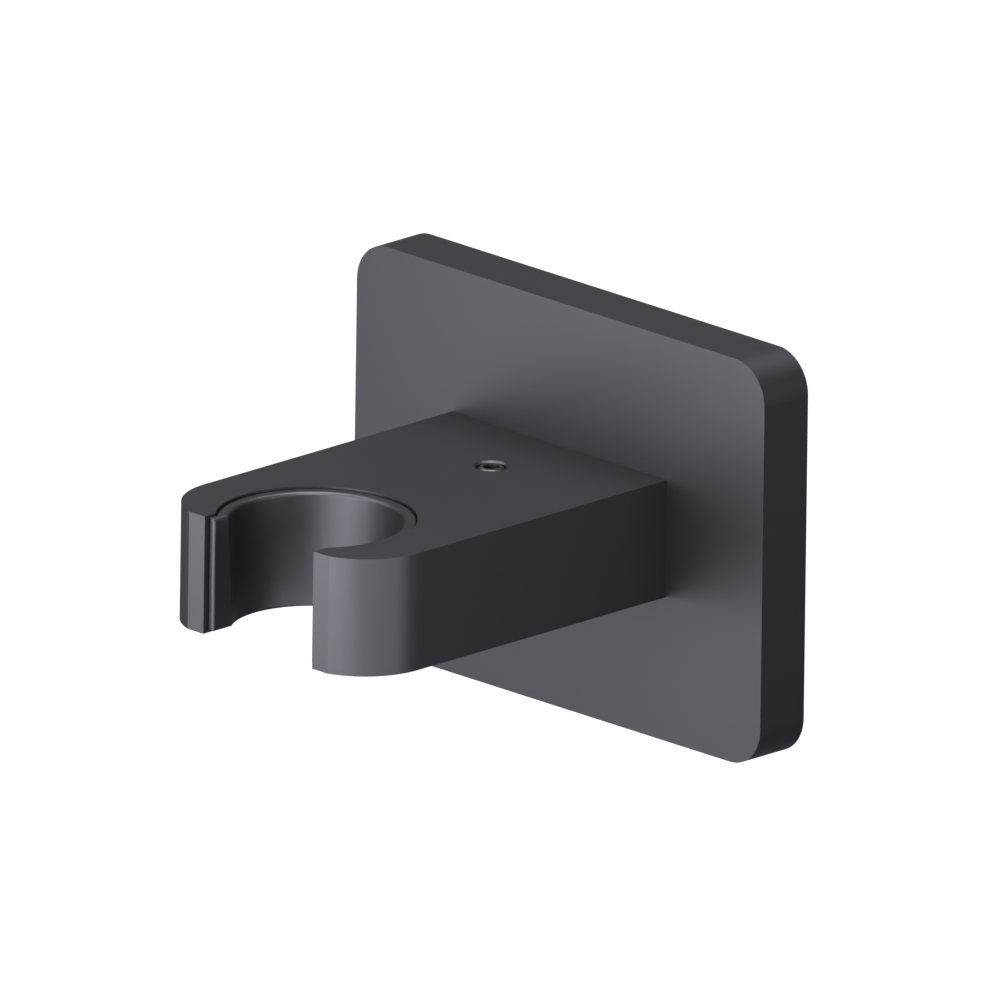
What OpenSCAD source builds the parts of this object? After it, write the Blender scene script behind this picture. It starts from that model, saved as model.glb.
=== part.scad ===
// Wall holder for a hand shower: a cover plate against the wall, a forked arm that slides over
// a hidden bracket and is held by a grub screw, and a moulded liner in the fork.
// Origin: on the wall, at the centre of the cover plate's back. Z is up and -Y is into the room.

/* [Cover plate] */
// Width of the cover plate
plate_w = 75; // [72:0.5:95]
// Height of the cover plate
plate_h = 55; // [46:0.5:75]
// Distance from the wall to the plate's front face
plate_t = 8; // [7.6:0.1:12]
// Corner radius of the plate's outline
plate_corner_r = 5.5; // [3.5:0.1:8]
// Thickness of the plate's side walls
plate_wall = 2.5; // [1.5:0.1:3]
// Thickness of the plate's front wall
plate_face = 2; // [1.2:0.1:2.4]
// Wall of the collar round the window for the post
collar_wall = 2; // [1:0.1:3]

/* [Arm] */
// Width of the arm
arm_w = 39.5; // [36:0.5:48]
// Height of the arm
arm_h = 16; // [15:0.25:20]
// Length of the arm, from the plate's face to the tips of the fork
arm_l = 55; // [50:0.5:80]
// Radius of the two front corners
prong_r = 10; // [8:0.1:11]
// How far the flat tips are cut back from the front of the corner radii
tip_trim = 0.5; // [0.1:0.05:1.5]
// Distance from the tips back to the axis of the bore
bore_setback = 10.45; // [9.5:0.05:12]
// Gap between the liner's wall and the bore
bore_gap = 0.25; // [0.1:0.05:0.3]

/* [Liner] */
// Diameter of the conical seat at its top
seat_top_d = 23; // [22.4:0.1:23.4]
// Diameter of the conical seat at its foot
seat_foot_d = 21.8; // [21:0.1:22.2]
// Thickness of the liner's wall at the top of the seat
liner_wall = 1.45; // [1.3:0.05:2]
// How far the liner's two ends lie inside the arm's faces
liner_recess = 0.3; // [0.05:0.05:1]
// Width of the way in between the lips
throat_w = 18; // [17:0.1:19]
// Thickness of the two lips that line the opening
lip_t = 0.95; // [0.8:0.05:1.4]
// Distance from the arm's tips back to the lips
lip_setback = 0.8; // [0.5:0.05:1.2]
// Radius on the upper inner rim of the liner
rim_r = 0.5; // [0.2:0.05:0.6]
// Radius on the lower inner rim of the liner
foot_rim_r = 0.3; // [0.1:0.05:0.6]
// Radius on the lips' front edges
edge_r = 0.3; // [0.15:0.05:0.4]
// Radius on the liner's outer edges, which lie against the arm
outer_r = 0.1; // [0.05:0.05:0.2]
// Radius of the bead that snaps into the arm's groove
bead_r = 0.5; // [0.4:0.05:0.6]
// Angle that the bead covers round the back of the liner
bead_angle = 220; // [120:5:240]
// Clearance of the lips and the bead in the arm
liner_clear = 0.05; // [0.02:0.01:0.1]

/* [Wall bracket] */
// Space between the bracket's base and the plate's wall on each side
base_side_gap = 4; // [2:0.5:6]
// Space between the bracket's base and the plate's wall above and below
base_end_gap = 10; // [6:0.5:12]
// Thickness of the bracket's base
base_t = 3; // [2:0.1:4]
// Corner radius of the base
base_corner_r = 3; // [1:0.1:6]
// Distance from each screw slot's outer end to the base's side
slot_edge = 4.5; // [3:0.5:6]
// Width of each screw slot
slot_w = 5.2; // [4.2:0.1:6]
// Length of each screw slot, end to end
slot_l = 9; // [7:0.1:10]
// Width of the post that carries the arm
post_w = 22; // [16:0.1:24]
// Height of the post
post_h = 8; // [6.5:0.1:9]
// Corner radius of the post
post_corner_r = 1.2; // [0.5:0.1:2]
// How far the post reaches into the arm
post_reach = 18; // [16:0.5:24]
// Clearance between the post and what slides over it
post_clear = 0.15; // [0.05:0.05:0.3]
// Space left in front of the post's end
post_end_gap = 0.8; // [0.3:0.1:2]
// Gap between the plate's collar and the bracket's base
collar_gap = 0.2; // [0.1:0.05:0.4]

/* [Grub screw] */
// Diameter of the screw
screw_d = 4; // [3.5:0.1:4.5]
// Length of the screw, point included
screw_l = 6; // [5:0.1:6.5]
// Distance from the plate's front face to the screw
screw_setback = 12.5; // [11:0.1:13.5]
// Depth of the screw's top below the arm's top face
screw_sink = 0.1; // [0.05:0.05:0.4]
// Chamfer on the screw's top edge
screw_chamfer = 0.5; // [0.2:0.05:0.6]
// Width of the hexagon socket across its flats
key_w = 2; // [1.6:0.1:2.4]
// Depth of the hexagon socket
key_depth = 2; // [1.2:0.1:2.6]
// Diameter of the flat on the screw's point
point_d = 0.8; // [0.4:0.1:1.2]
// Clearance between the screw and its hole
screw_clear = 0.05; // [0.02:0.01:0.1]
// Chamfer at the mouth of the screw's hole
hole_break = 0.25; // [0.05:0.05:0.3]
// How far the notch is set towards the wall, so that the screw draws the arm to it
notch_pull = 0.3; // [0.1:0.05:0.5]
// Gap between the screw's point and the notch
point_clear = 0.05; // [0.02:0.01:0.1]

/* [Hidden] */

// How far a cut runs past the surface that it goes through
over = 1;

// Sizes that follow from the pieces that lie inside each other
liner_h = arm_h - 2 * liner_recess;
liner_r = seat_top_d / 2 + liner_wall;
bore_r = liner_r + bore_gap;
gap_w = throat_w + 2 * (lip_t + liner_clear);
base_w = plate_w - 2 * (plate_wall + base_side_gap);
base_h = plate_h - 2 * (plate_wall + base_end_gap);
slot_spacing = base_w - 2 * slot_edge - slot_l;

// Places along Y, from the wall into the room
plate_y = -plate_t;
tip_y = plate_y - arm_l;
bore_y = tip_y + bore_setback;
corner_y = tip_y - tip_trim + prong_r;
screw_y = plate_y - screw_setback;
post_end_y = plate_y - post_reach;
lip_front_y = tip_y + lip_setback;

// The slopes of the point and of the notch both stand at 45 degrees
point_z = arm_h / 2 - screw_sink - screw_l;
point_h = (screw_d - point_d) / 2;
notch_z = point_z - point_d / 2 - notch_pull - point_clear;

anthracite = [0.25, 0.25, 0.27];
cast_grey = [0.62, 0.63, 0.65];
screw_black = [0.12, 0.12, 0.13];

// Radius of the conical seat at a height
function seat_r(z) = (seat_foot_d + (seat_top_d - seat_foot_d) * (z / liner_h + 0.5)) / 2;

// A rectangle with rounded corners, centred
module rounded_rect(w, h, r) {
    square([w - 2 * r, h], center = true);
    square([w, h - 2 * r], center = true);
    for (x = [-1, 1], y = [-1, 1])
        translate([x * (w / 2 - r), y * (h / 2 - r)]) circle(r = r, $fn = 48);
}

// What a round-over takes off a corner at the origin, where the material lies right and below
module round_over(r) {
    difference() {
        translate([-r, -r]) square(2 * r);
        translate([r, -r]) circle(r = r, $fn = 48);
    }
}

// Carries an outline drawn in X and Z along Y, from y_from towards the room to y_to
module along_y(y_from, y_to) {
    translate([0, y_from, 0]) rotate([90, 0, 0]) linear_extrude(y_from - y_to) children();
}

// The post's outline with a clearance round it
module post_outline(clear) {
    rounded_rect(post_w + 2 * clear, post_h + 2 * clear, post_corner_r + clear);
}

// The hidden casting that is screwed to the wall and carries the arm on its post
module wall_bracket() {
    color(cast_grey) difference() {
        union() {
            along_y(0, -base_t) rounded_rect(base_w, base_h, base_corner_r);
            along_y(0, post_end_y) post_outline(0);
        }
        for (x = [-1, 1])
            translate([x * slot_spacing / 2, 0, 0]) along_y(over, -base_t - over) slot_outline();
        notch();
    }
}

// A screw slot: a straight middle with a half round at each end
module slot_outline() {
    straight_l = slot_l - slot_w;
    square([straight_l, slot_w], center = true);
    for (x = [-1, 1]) translate([x * straight_l / 2, 0]) circle(d = slot_w, $fn = 48);
}

// The V across the post's top that the screw's point bears on
module notch() {
    half_w = post_h / 2 + over - notch_z;
    translate([-post_w / 2 - over, screw_y + notch_pull, notch_z])
        rotate([90, 0, 90]) linear_extrude(post_w + 2 * over)
            polygon([[0, 0], [half_w, half_w], [-half_w, half_w]]);
}

// The hollow plate that hides the bracket, with a collar round the post
module cover_plate() {
    inside_y = plate_y + plate_face;
    color(anthracite) difference() {
        union() {
            difference() {
                along_y(0, plate_y) rounded_rect(plate_w, plate_h, plate_corner_r);
                along_y(over, inside_y)
                    rounded_rect(plate_w - 2 * plate_wall, plate_h - 2 * plate_wall,
                                 plate_corner_r - plate_wall);
            }
            along_y(-base_t - collar_gap, plate_y) post_outline(post_clear + collar_wall);
        }
        along_y(over, plate_y - over) post_outline(post_clear);
    }
}

// The arm's outline from above: straight sides and two corner radii, cut flat at the tips
module arm_outline() {
    intersection() {
        union() {
            translate([-arm_w / 2, corner_y]) square([arm_w, plate_y - corner_y]);
            translate([prong_r - arm_w / 2, tip_y]) square([arm_w - 2 * prong_r, prong_r]);
            for (x = [-1, 1])
                translate([x * (arm_w / 2 - prong_r), corner_y]) circle(r = prong_r, $fn = 96);
        }
        translate([-arm_w / 2, tip_y]) square([arm_w, arm_l]);
    }
}

// The opening between the tips, the bore and the groove for the bead
module fork_cut() {
    translate([0, bore_y, 0]) {
        cylinder(h = arm_h + 2 * over, r = bore_r, center = true, $fn = 96);
        bead(bead_r + liner_clear);
    }
    translate([-gap_w / 2, tip_y - over, -arm_h / 2 - over])
        cube([gap_w, bore_setback + over, arm_h + 2 * over]);
}

// A round bead on the liner's wall, open towards the tips
module bead(r) {
    rotate(90 - bead_angle / 2) rotate_extrude(angle = bead_angle, $fn = 96)
        translate([liner_r, 0]) circle(r = r, $fn = 24);
}

// The tapped hole, as wide as the screw, with a chamfered mouth
module screw_hole() {
    hole_r = screw_d / 2 + screw_clear;
    translate([0, screw_y, 0]) {
        cylinder(h = arm_h / 2 + over, r = hole_r, $fn = 48);
        translate([0, 0, arm_h / 2 - hole_break])
            cylinder(h = hole_break, r1 = hole_r, r2 = hole_r + hole_break, $fn = 48);
    }
}

// The forked arm, with a socket behind that slides over the post
module fork_arm() {
    color(anthracite) difference() {
        translate([0, 0, -arm_h / 2]) linear_extrude(arm_h) arm_outline();
        fork_cut();
        screw_hole();
        along_y(plate_y + over, post_end_y - post_end_gap) post_outline(post_clear);
    }
}

// The liner's full ring, with its outer rims rounded, before the seat is cut
module liner_ring() {
    translate([0, bore_y, 0]) rotate_extrude($fn = 96) {
        translate([0, -liner_h / 2]) square([liner_r - outer_r, liner_h]);
        translate([0, outer_r - liner_h / 2]) square([liner_r, liner_h - 2 * outer_r]);
        for (z = [-1, 1])
            translate([liner_r - outer_r, z * (liner_h / 2 - outer_r)]) circle(r = outer_r, $fn = 48);
    }
}

// The block that fills the arm's opening, rounded on its front and outer edges
module liner_nose() {
    nose_w = gap_w - 2 * liner_clear;
    nose_l = bore_y - lip_front_y;
    nose_x = nose_w / 2 + over;
    intersection() {
        translate([0, bore_y, -liner_h / 2])
            linear_extrude(liner_h) rounded_rect(nose_w, 2 * nose_l, outer_r);
        along_y(bore_y, lip_front_y - over) rounded_rect(nose_w, liner_h, outer_r);
        translate([-nose_x, bore_y, 0]) rotate([90, 0, 90])
            linear_extrude(2 * nose_x) rounded_rect(2 * nose_l, liner_h, edge_r);
    }
}

// The conical seat with its rounded rims, as the space that it takes
module seat_space() {
    rim_z = liner_h / 2 - rim_r;
    foot_z = foot_rim_r - liner_h / 2;
    translate([0, bore_y, 0]) rotate_extrude($fn = 96) {
        polygon([[0, -liner_h / 2 - over], [seat_r(foot_z), -liner_h / 2 - over],
                 [seat_r(foot_z), foot_z], [seat_r(rim_z), rim_z],
                 [seat_r(rim_z), liner_h / 2 + over], [0, liner_h / 2 + over]]);
        translate([seat_r(rim_z), liner_h / 2]) round_over(rim_r);
        translate([seat_r(foot_z), -liner_h / 2]) mirror([0, 1]) round_over(foot_rim_r);
    }
}

// The way in between the lips, with rounded edges above, below and in front
module throat_space() {
    front_y = bore_y - bore_r - over;
    along_y(bore_y, front_y) {
        square([throat_w, liner_h + 2 * over], center = true);
        for (x = [0, 1]) mirror([x, 0]) {
            translate([throat_w / 2, liner_h / 2]) round_over(rim_r);
            translate([throat_w / 2, -liner_h / 2]) mirror([0, 1]) round_over(foot_rim_r);
        }
    }
    translate([0, 0, -liner_h / 2 - over]) linear_extrude(liner_h + 2 * over) {
        translate([-bore_r, front_y]) square([2 * bore_r, lip_front_y - front_y]);
        for (x = [0, 1]) mirror([x, 0])
            translate([throat_w / 2, lip_front_y]) mirror([0, 1]) round_over(edge_r);
    }
}

// The moulded liner that the handset's tapered nut rests in
module fork_liner() {
    color(anthracite) difference() {
        union() {
            liner_ring();
            liner_nose();
            translate([0, bore_y, 0]) bead(bead_r);
        }
        seat_space();
        throat_space();
    }
}

// The grub screw: cone point, plain body, chamfered top and hexagon socket
module grub_screw() {
    body_l = screw_l - point_h - screw_chamfer;
    key_r = key_w / sqrt(3);
    color(screw_black) translate([0, screw_y, point_z]) difference() {
        union() {
            cylinder(h = point_h, d1 = point_d, d2 = screw_d, $fn = 48);
            translate([0, 0, point_h]) cylinder(h = body_l, d = screw_d, $fn = 48);
            translate([0, 0, point_h + body_l])
                cylinder(h = screw_chamfer, d1 = screw_d, d2 = screw_d - 2 * screw_chamfer, $fn = 48);
        }
        translate([0, 0, screw_l - key_depth]) cylinder(h = key_depth + over, r = key_r, $fn = 6);
    }
}

wall_bracket();
cover_plate();
fork_arm();
fork_liner();
grub_screw();
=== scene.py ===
"""A wall holder for a hand shower: its finishes, its threaded grub screw and the studio.

Lengths are in metres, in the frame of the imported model: the wall is the plane y = 0, -Y is into
the room and +Z is up. A direction is given by two angles in degrees: the azimuth, from the front
to the right, and the elevation.
"""
import math

import bpy
import numpy as np
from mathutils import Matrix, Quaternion, Vector


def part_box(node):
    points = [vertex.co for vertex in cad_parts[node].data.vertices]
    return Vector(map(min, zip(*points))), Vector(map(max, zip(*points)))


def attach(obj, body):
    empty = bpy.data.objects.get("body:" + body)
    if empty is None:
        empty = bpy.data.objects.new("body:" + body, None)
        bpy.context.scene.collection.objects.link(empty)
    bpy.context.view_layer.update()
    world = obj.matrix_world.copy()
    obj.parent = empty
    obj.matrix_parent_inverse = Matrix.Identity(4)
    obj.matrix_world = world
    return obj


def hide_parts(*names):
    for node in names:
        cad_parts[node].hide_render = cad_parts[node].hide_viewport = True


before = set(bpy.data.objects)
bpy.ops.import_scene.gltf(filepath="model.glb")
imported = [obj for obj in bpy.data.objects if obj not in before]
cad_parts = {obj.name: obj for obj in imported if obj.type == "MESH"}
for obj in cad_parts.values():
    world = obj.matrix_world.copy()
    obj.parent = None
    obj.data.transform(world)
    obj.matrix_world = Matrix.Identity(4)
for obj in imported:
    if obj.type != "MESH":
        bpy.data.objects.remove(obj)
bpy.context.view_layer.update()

# Camera
# The picture is a parallel view, so the camera has a width of view and no lens. It looks down
# on the holder from the front right, turned by less than a degree about its own line of sight.
view_width = 0.12983
view_azimuth = 44.88
view_elevation = 17.90
view_roll = math.radians(0.7635)
view_distance = 0.6
nearest_seen = 0.01
farthest_seen = 10
aim = Vector((-0.00549, -0.01327, 0.00045))


def direction(azimuth, elevation):
    """The unit vector towards an azimuth, a turn about Z, and an elevation above the level."""
    a, e = math.radians(azimuth), math.radians(elevation)
    return Vector((math.sin(a) * math.cos(e), -math.cos(a) * math.cos(e), math.sin(e)))


towards_camera = direction(view_azimuth, view_elevation)
camera_data = bpy.data.cameras.new("camera")
camera_data.type = "ORTHO"
camera_data.ortho_scale = view_width
camera_data.clip_start = nearest_seen
camera_data.clip_end = farthest_seen
camera = bpy.data.objects.new("camera", camera_data)
camera.rotation_mode = "QUATERNION"
camera.rotation_quaternion = ((-towards_camera).to_track_quat("-Z", "Y")
                              @ Quaternion((0, 0, 1), view_roll))
camera.location = aim + towards_camera * view_distance
bpy.context.scene.collection.objects.link(camera)
bpy.context.scene.camera = camera


# Coated castings
# The cover plate and the forked arm are zinc castings, ground and coated in one satin
# anthracite. The coat is smooth, with a faint flow texture that only shows close by.
class Socket:
    """An output of a shader's node that takes part in Python sums by way of Math nodes."""

    def __init__(self, finish, output):
        self.finish = finish
        self.output = output

    def __add__(self, other):
        return self.finish.node("ShaderNodeMath", {"operation": "ADD"}, self, other)

    def __mul__(self, other):
        return self.finish.node("ShaderNodeMath", {"operation": "MULTIPLY"}, self, other)

    __radd__ = __add__
    __rmul__ = __mul__


class Finish:
    """A procedural material on a Principled shader, with a place in metres to paint by."""

    def __init__(self, name, **constants):
        self.material = bpy.data.materials.new(name)
        self.material.use_nodes = True
        self.tree = self.material.node_tree
        self.shader = self.tree.nodes["Principled BSDF"]
        for socket, value in constants.items():
            self.shader.inputs[socket.replace("_", " ")].default_value = value
        self.place = self.node("ShaderNodeTexCoord", {}, out="Object")

    def node(self, kind, settings, *values, out=0, **named):
        """Adds a node, sets its settings, then sets or links its sockets in order or by name."""
        made = self.tree.nodes.new(kind)
        for name, value in settings.items():
            setattr(made, name, value)
        for key, value in [*enumerate(values), *named.items()]:
            socket = made.inputs[key.replace("_", " ") if isinstance(key, str) else key]
            if isinstance(value, Socket):
                self.tree.links.new(value.output, socket)
            else:
                socket.default_value = value
        return Socket(self, made.outputs[out])

    def noise(self, size, detail=2.0, roughness=0.5):
        """Noise from 0 to 1 whose lumps are about size metres across."""
        return self.node("ShaderNodeTexNoise", {}, out="Fac", Vector=self.place,
                         Scale=1 / size, Detail=detail, Roughness=roughness)

    def shades(self, share, colour, factors):
        """The colour times a factor, which goes from the first to the second with the share."""
        made = self.node("ShaderNodeMix", {"data_type": "RGBA"}, share, out=2)
        ends = [socket for socket in made.output.node.inputs if socket.type == "RGBA"]
        for socket, factor in zip(ends, factors):
            socket.default_value = (*(c * factor for c in colour), 1)
        return made

    def feed(self, name, value):
        """Links a value to a socket of the shader."""
        self.tree.links.new(value.output, self.shader.inputs[name])

    def bump(self, height, depth):
        """Raises the surface by height times depth metres."""
        self.feed("Normal", self.node("ShaderNodeBump", {}, out="Normal", Strength=1.0,
                                      Distance=depth, Height=height))

    def wear(self, *objects):
        """Puts the finish on the objects in place of what they have."""
        for item in objects:
            item.data.materials.clear()
            item.data.materials.append(self.material)


coat_colour = (0.0824, 0.080, 0.0912)
coat_shades = (0.985, 1.015)
coat_roughness = 0.43
coat_unevenness = 0.02
coat_depth = 0.0000006
flow_size = 0.0016
flow_height = 0.7
grain_size = 0.00012
grain_height = 0.3
coat = Finish("satin_coat", Metallic=1.0)
flow = coat.noise(flow_size, detail=1.0)
grain = coat.noise(grain_size, detail=1.0)
coat.feed("Base Color", coat.shades(flow, coat_colour, coat_shades))
coat.feed("Roughness", coat_roughness + coat_unevenness * flow + coat_unevenness * grain)
coat.bump(flow_height * flow + grain_height * grain, coat_depth)
coat.wear(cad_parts["cover_plate"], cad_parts["fork_arm"])

# Liner
# One moulding of hard plastic, lacquered to match the castings and snapped into the fork. Its skin
# is a little glossier than the coat, with the fine drag lines of the mould along its height.
liner_colour = (0.0824, 0.080, 0.0912)
liner_shades = (0.98, 1.02)
liner_roughness = 0.42
cloud_size = 0.003
cloud_roughness = 0.03
drag_size = 0.0004
drag_squeeze = 0.04
drag_roughness = 0.02
drag_depth = 0.0000006
plastic = Finish("moulded_liner", Metallic=1.0)
drag_place = plastic.node("ShaderNodeMapping", {}, plastic.place, out="Vector",
                          Scale=(1, 1, drag_squeeze))
drag = plastic.node("ShaderNodeTexNoise", {}, out="Fac", Vector=drag_place, Scale=1 / drag_size,
                    Detail=1.0)
cloud = plastic.noise(cloud_size)
plastic.feed("Base Color", plastic.shades(cloud, liner_colour, liner_shades))
plastic.feed("Roughness", liner_roughness + cloud_roughness * cloud + drag_roughness * drag)
plastic.bump(drag, drag_depth)
plastic.wear(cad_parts["fork_liner"])

# Wall bracket
# A bare zinc casting, tumbled and not coated, because the plate hides it. The tumbling leaves a
# skin of fine dents, and the metal is stained unevenly.
bracket_colour = (0.42, 0.43, 0.45)
bracket_shades = (0.85, 1.1)
bracket_roughness = 0.42
dent_size = 0.0006
dent_depth = 0.00003
stain_size = 0.006
stain_roughness = 0.16
casting = Finish("tumbled_zinc", Metallic=1.0)
dents = casting.noise(dent_size, detail=4.0, roughness=0.65)
stain = casting.noise(stain_size, detail=3.0)
casting.feed("Base Color", casting.shades(stain, bracket_colour, bracket_shades))
casting.feed("Roughness", bracket_roughness + stain_roughness * stain)
casting.bump(dents, dent_depth)
casting.wear(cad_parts["wall_bracket"])

# Grub screw
# A set screw of blackened steel, cold-headed with a hexagon socket, turned to a cone point and
# rolled with an M4 thread. It is screwed down through the arm's top onto the bracket's post.
screw_low, screw_high = (np.array(corner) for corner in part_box("grub_screw"))
screw_axis = (screw_low + screw_high) / 2
screw_length = screw_high[2] - screw_low[2]
crest_r = (screw_high[0] - screw_low[0]) / 2
thread_pitch = 0.0007
thread_depth = 0.6134 * thread_pitch
crest_share = 1 / 8
root_share = 1 / 4
head_chamfer = 0.0005
point_flat_r = 0.0004
key_width = 0.002
key_depth = 0.0014
key_cone = 0.0004
key_cone_share = 0.1
screw_columns = 96
rows_per_turn = 18
crease = math.radians(25)


def thread_radius(angle, height):
    """Radius of the thread's surface at an angle round the axis and a height above the point.

    The share of a pitch since the last crest, height / pitch - angle / turn, gives a trapezium:
    flat on the crest and at the root, with straight flanks between. The cone point and the
    chamfer at the socket's end, both at 45 degrees, cut it off where they are smaller.
    """
    share = np.abs((height / thread_pitch - angle / math.tau) % 1 - 0.5)
    flank_share = 0.5 - (crest_share + root_share) / 2
    sunk = np.clip((share - crest_share / 2) / flank_share, 0, 1)
    cut = np.minimum(point_flat_r + height, crest_r - head_chamfer + screw_length - height)
    return np.minimum(crest_r - thread_depth * sunk, cut)


def hexagon_radius(angle, width):
    """Radius of a hexagon's outline at an angle: half its width over the cosine within a side."""
    side = math.tau / 6
    return width / 2 / np.cos((angle + side / 2) % side - side / 2)


def closed_skin(name, rings):
    """A closed mesh over rings of points, array (ring, column, xyz), with both end rings filled.

    Each face joins a point, the next in its ring and the two above them in the next ring.
    """
    count, columns = rings.shape[:2]
    ring, column = np.meshgrid(np.arange(count - 1), np.arange(columns), indexing="ij")
    after = (column + 1) % columns
    quads = np.stack([ring * columns + column, ring * columns + after,
                      (ring + 1) * columns + after, (ring + 1) * columns + column], axis=-1)
    ends = [list(range(columns))[::-1], list(range((count - 1) * columns, count * columns))]
    mesh = bpy.data.meshes.new(name)
    mesh.from_pydata(rings.reshape(-1, 3).tolist(), [], quads.reshape(-1, 4).tolist() + ends)
    mesh.shade_smooth()
    mesh.set_sharp_from_angle(angle=crease)
    return mesh


turn = np.arange(screw_columns) * math.tau / screw_columns
thread_heights = np.linspace(0, screw_length, round(screw_length / thread_pitch * rows_per_turn))
key_floor = screw_length - key_depth
key_heights = np.array([screw_length, key_floor, key_floor - key_cone])
key_widths = np.array([key_width, key_width, key_width * key_cone_share])
radii = np.concatenate([thread_radius(turn, thread_heights[:, None]),
                        hexagon_radius(turn, key_widths[:, None])])
heights = np.concatenate([thread_heights, key_heights])[:, None] + 0 * radii
screw_rings = np.stack([screw_axis[0] + radii * np.cos(turn), screw_axis[1] + radii * np.sin(turn),
                        screw_low[2] + heights], axis=-1)
screw = bpy.data.objects.new("set_screw", closed_skin("set_screw", screw_rings))
bpy.context.scene.collection.objects.link(screw)
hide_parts("grub_screw")
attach(screw, "root")

steel_colour = (0.095, 0.094, 0.100)
steel_shades = (0.85, 1.2)
steel_roughness = 0.36
oxide_size = 0.0005
oxide_roughness = 0.10
oxide_depth = 0.000002
steel = Finish("blackened_steel", Metallic=1.0)
oxide = steel.noise(oxide_size, detail=3.0)
steel.feed("Base Color", steel.shades(oxide, steel_colour, steel_shades))
steel.feed("Roughness", steel_roughness + oxide_roughness * oxide)
steel.bump(oxide, oxide_depth)
steel.wear(screw)

# Floor
# A light table far below the holder, its pale top lit from inside. The camera and the gloss of
# the coat see it white, and it still takes a little of the lamps' light and the holder's shadow.
floor_z = -0.35
floor_half = 20
floor_colour = (0.2, 0.2, 0.2, 1)
floor_glow = 1.0
floor_mesh = bpy.data.meshes.new("floor")
floor_mesh.from_pydata([(-floor_half, -floor_half, floor_z), (floor_half, -floor_half, floor_z),
                        (floor_half, floor_half, floor_z), (-floor_half, floor_half, floor_z)],
                       [], [(0, 1, 2, 3)])
floor = bpy.data.objects.new("floor", floor_mesh)
bpy.context.scene.collection.objects.link(floor)
paper = Finish("light_table", Roughness=0.9, Specular_IOR_Level=0.0, Base_Color=floor_colour)
sight = [paper.node("ShaderNodeLightPath", {}, out=name)
         for name in ("Is Camera Ray", "Is Glossy Ray", "Is Transmission Ray")]
matt = Socket(paper, paper.shader.outputs["BSDF"])
glow = paper.node("ShaderNodeEmission", {}, Strength=floor_glow)
bright = paper.node("ShaderNodeAddShader", {}, matt, glow)
seen = paper.node("ShaderNodeMixShader", {}, sight[0] + sight[1] + sight[2], matt, bright)
paper.tree.links.new(seen.output, paper.tree.nodes["Material Output"].inputs["Surface"])
paper.wear(floor)

# Dark screen
# A screen curved like a bowl stands round the back of the holder. Its grey is painted light:
# near-black felt that glows dimly with the sky's colour. The camera doesn't see it, but the
# coat does, so the sides that face it stay darker than the floor.
studio_centre = Vector((0, -0.03, 0))
screen_radius = 0.30
screen_azimuths = np.radians(np.linspace(96, 292, 50))
screen_elevations = np.radians(np.linspace(-72, 4, 20))
felt_colour = (0.02, 0.02, 0.02, 1)
screen_glow_strength = 0.146
sky_colour = (0.92, 0.90, 1.0, 1)

around, upward = np.meshgrid(screen_azimuths, screen_elevations)
screen_points = np.array(studio_centre) + screen_radius * np.stack(
    [np.sin(around) * np.cos(upward), -np.cos(around) * np.cos(upward), np.sin(upward)], axis=-1)
screen_rows, screen_columns = around.shape
screen_corners = (np.arange(screen_rows - 1)[:, None] * screen_columns
                  + np.arange(screen_columns - 1)).reshape(-1, 1)
screen_mesh = bpy.data.meshes.new("dark_screen")
screen_mesh.from_pydata(screen_points.reshape(-1, 3).tolist(), [],
                        (screen_corners + [0, 1, screen_columns + 1, screen_columns]).tolist())
screen = bpy.data.objects.new("dark_screen", screen_mesh)
screen.visible_camera = False
bpy.context.scene.collection.objects.link(screen)
# The felt is near black. Its grey is a painted glow, lit from within in the sky's colour.
felt = Finish("glowing_grey_screen", Roughness=1.0, Specular_IOR_Level=0.0, Base_Color=felt_colour,
              Emission_Color=sky_colour, Emission_Strength=screen_glow_strength)
felt.wear(screen)


# Lamps
# Soft boxes all round: two overhead, one high on the left, one high by the camera, one on the
# right and a row of small ones close to the tips, with an even dim light from everywhere.
def softbox(name, azimuth, elevation, distance, width, height, power):
    """A soft area lamp that looks at the holder: degrees, then metres, then watts."""
    towards = direction(azimuth, elevation)
    data = bpy.data.lights.new(name, "AREA")
    data.shape = "RECTANGLE"
    data.size = width
    data.size_y = height
    data.energy = power
    lamp = bpy.data.objects.new(name, data)
    lamp.location = studio_centre + towards * distance
    lamp.rotation_mode = "QUATERNION"
    lamp.rotation_quaternion = towards.to_track_quat("Z", "Y")
    lamp.visible_camera = False
    bpy.context.scene.collection.objects.link(lamp)


softbox("overhead", 0, 89, 0.8, 0.7, 0.7, 7.25)
softbox("overhead_wide", 0, 89, 0.8, 1.2, 1.2, 5.25)
softbox("left", -45, 40, 0.8, 0.36, 0.36, 2.29)
softbox("camera_side", 45, 40, 0.8, 0.36, 0.36, 3.03)
softbox("right", 98, 3, 0.8, 0.4, 0.4, 2.06)
softbox("front", -12, 5, 0.20, 0.12, 0.09, 0.143)
softbox("front_left", -25, 0, 0.20, 0.1, 0.09, 0.124)
softbox("front_right", 10, 5, 0.20, 0.1, 0.09, 0.141)
softbox("front_side", 55, 0, 0.4, 0.15, 0.15, 0.155)
softbox("fill", 25, -20, 0.20, 0.09, 0.09, 0.033)

sky_strength = 0.180
world = bpy.data.worlds.new("studio")
world.use_nodes = True
sky = world.node_tree.nodes["Background"]
sky.inputs["Color"].default_value = sky_colour
sky.inputs["Strength"].default_value = sky_strength
bpy.context.scene.world = world
bpy.context.scene.view_settings.view_transform = "Standard"
